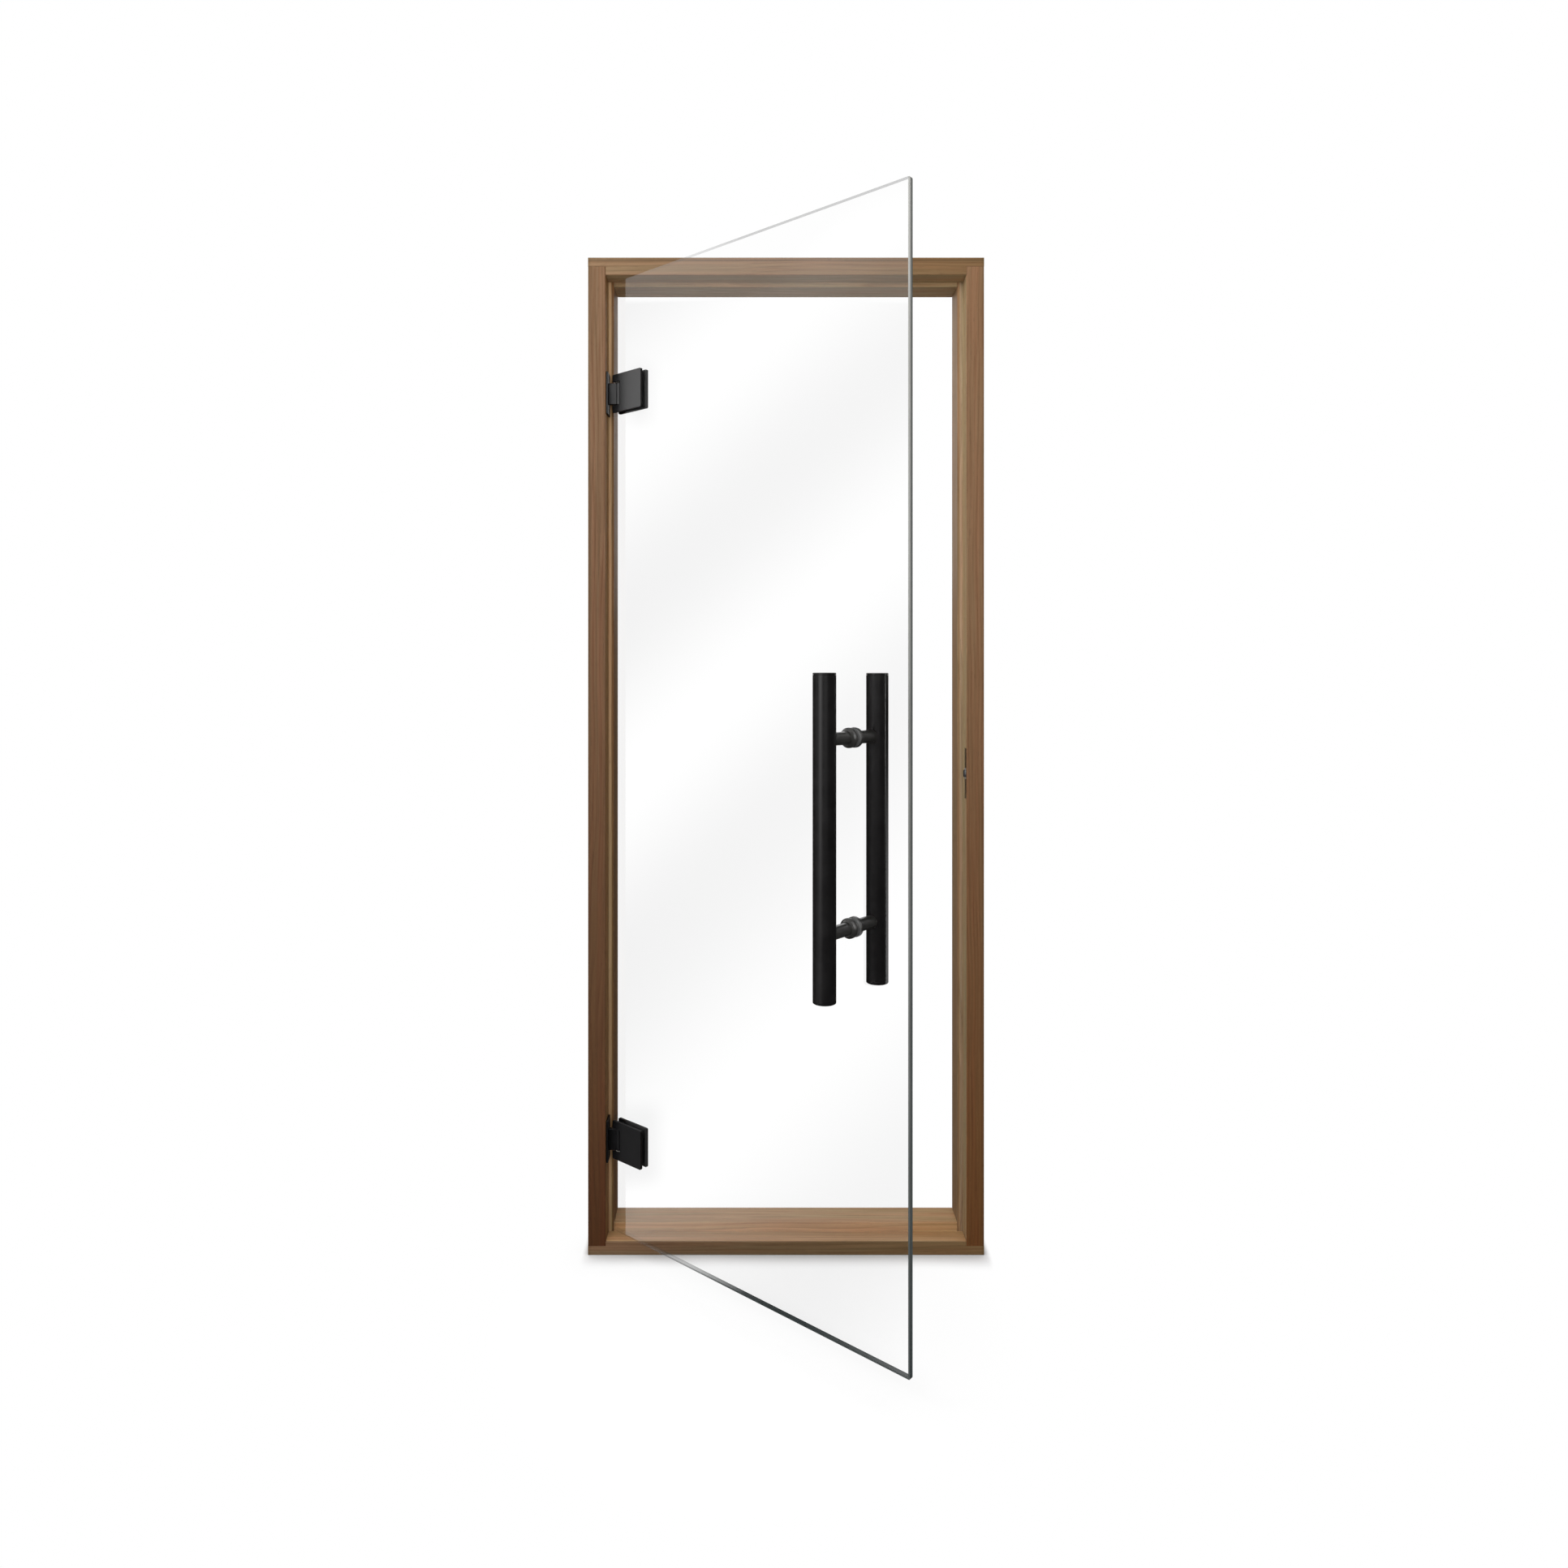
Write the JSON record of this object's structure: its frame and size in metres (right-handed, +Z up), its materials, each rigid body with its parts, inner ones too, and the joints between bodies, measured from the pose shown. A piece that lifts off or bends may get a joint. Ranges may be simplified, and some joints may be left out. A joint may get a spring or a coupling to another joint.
{
  "type": "sauna door",
  "caption": "Clear all-glass door hung in a rebated brown wooden frame with a sill, on black glass-clamp hinges, with back-to-back black tubular pull handles and a roller catch.",
  "frame": {"origin": "middle of the sill's underside, half-way through the frame's 100 mm depth, where the frame stands in its opening", "axes": "+Z up along the jambs; -Y out of the frame's front face, the side the door opens to; +X from the hinge jamb to the latch jamb"},
  "size_m": [0.79, 0.5314, 1.99],
  "materials": {
    "frame_wood": "oiled",
    "clear_glass": "polished",
    "black_metal": "satin powder coat",
    "bright_steel": "turned",
    "grey_rubber": "matte",
    "pale_nylon": "matte",
    "bronze_plate": "dark bronze",
    "black_plastic": "matte"
  },
  "bodies": {
    "frame": {"hinge_jamb": "frame_wood", "latch_jamb": "frame_wood", "head": "frame_wood", "sill": "frame_wood", "upper_wall_plate": "black_metal", "lower_wall_plate": "black_metal", "catch_case": "bronze_plate"},
    "door": {"glass_pane": "clear_glass", "upper_clamp_body": "black_metal", "upper_clamp_cover": "black_metal", "upper_outer_gasket": "grey_rubber", "upper_inner_gasket": "grey_rubber", "lower_clamp_body": "black_metal", "lower_clamp_cover": "black_metal", "lower_outer_gasket": "grey_rubber", "lower_inner_gasket": "grey_rubber", "upper_hinge_pin": "bright_steel", "upper_hinge_top_washer": "pale_nylon", "upper_hinge_bottom_washer": "pale_nylon", "lower_hinge_pin": "bright_steel", "lower_hinge_top_washer": "pale_nylon", "lower_hinge_bottom_washer": "pale_nylon", "outer_handle_tube": "black_metal", "outer_handle_top_cap": "black_metal", "outer_handle_bottom_cap": "black_metal", "inner_handle_tube": "black_metal", "inner_handle_top_cap": "black_metal", "inner_handle_bottom_cap": "black_metal", "outer_upper_post": "black_metal", "outer_upper_collar": "black_metal", "outer_upper_pad": "grey_rubber", "outer_lower_post": "black_metal", "outer_lower_collar": "black_metal", "outer_lower_pad": "grey_rubber", "inner_upper_post": "black_metal", "inner_upper_collar": "black_metal", "inner_upper_pad": "grey_rubber", "inner_lower_post": "black_metal", "inner_lower_collar": "black_metal", "inner_lower_pad": "grey_rubber", "upper_handle_stud": "bright_steel", "lower_handle_stud": "bright_steel"},
    "catch": {"catch_fork": "pale_nylon", "catch_roller": "black_plastic"}
  },
  "joints": [
    {"name": "door_swing", "type": "hinge", "parent": "frame", "child": "door", "pos_m": [-0.335, -0.031, 0.995], "axis": [0, 0, -1], "range_deg": [-40.5, 64.5]},
    {"name": "catch_push", "type": "slide", "parent": "frame", "child": "catch", "axis": [1, 0, 0], "range_m": [0, 0.004], "stiffness_N_per_m": 600}
  ]
}
